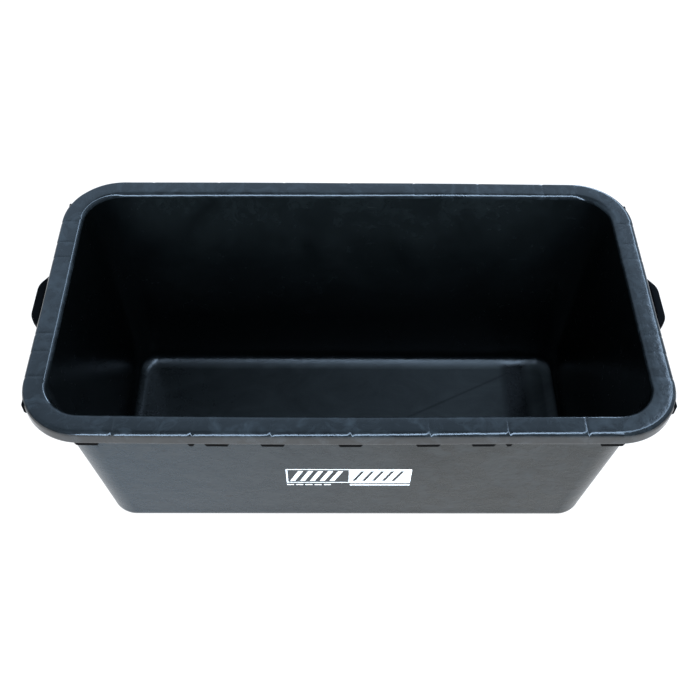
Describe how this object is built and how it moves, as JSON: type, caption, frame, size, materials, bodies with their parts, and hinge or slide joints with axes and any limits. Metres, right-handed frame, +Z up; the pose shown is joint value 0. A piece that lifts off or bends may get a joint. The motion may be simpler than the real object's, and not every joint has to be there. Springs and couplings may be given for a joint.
{
  "type": "mixing tub",
  "caption": "Rectangular open plastic tub with a skirted rim and a swinging carrying handle under each short end, for mixing mortar.",
  "frame": {"origin": "middle of the base, on the floor", "axes": "+X along the tub's length, +Y towards its back (the printed wall faces -Y), +Z up"},
  "size_m": [0.788, 0.412, 0.315],
  "materials": {
    "tub_plastic": "satin recycled polyethylene with faint flow marks",
    "handle_plastic": "fine-grained black",
    "pin_steel": "drawn and zinc plated",
    "print_ink": "screen-printed white ink"
  },
  "bodies": {
    "tub": {"tub": "tub_plastic", "pin_left_front": "pin_steel", "pin_left_back": "pin_steel", "pin_right_front": "pin_steel", "pin_right_back": "pin_steel", "front_print": "print_ink"},
    "handle_left": {"handle_left": "handle_plastic"},
    "handle_right": {"handle_right": "handle_plastic"}
  },
  "joints": [
    {"name": "handle_left_hinge", "type": "hinge", "parent": "tub", "child": "handle_left", "pos_m": [-0.368, 0, 0.297], "axis": [0, -1, 0], "range_deg": [0, 90]},
    {"name": "handle_right_hinge", "type": "hinge", "parent": "tub", "child": "handle_right", "pos_m": [0.368, 0, 0.297], "axis": [0, 1, 0], "range_deg": [0, 90]}
  ]
}
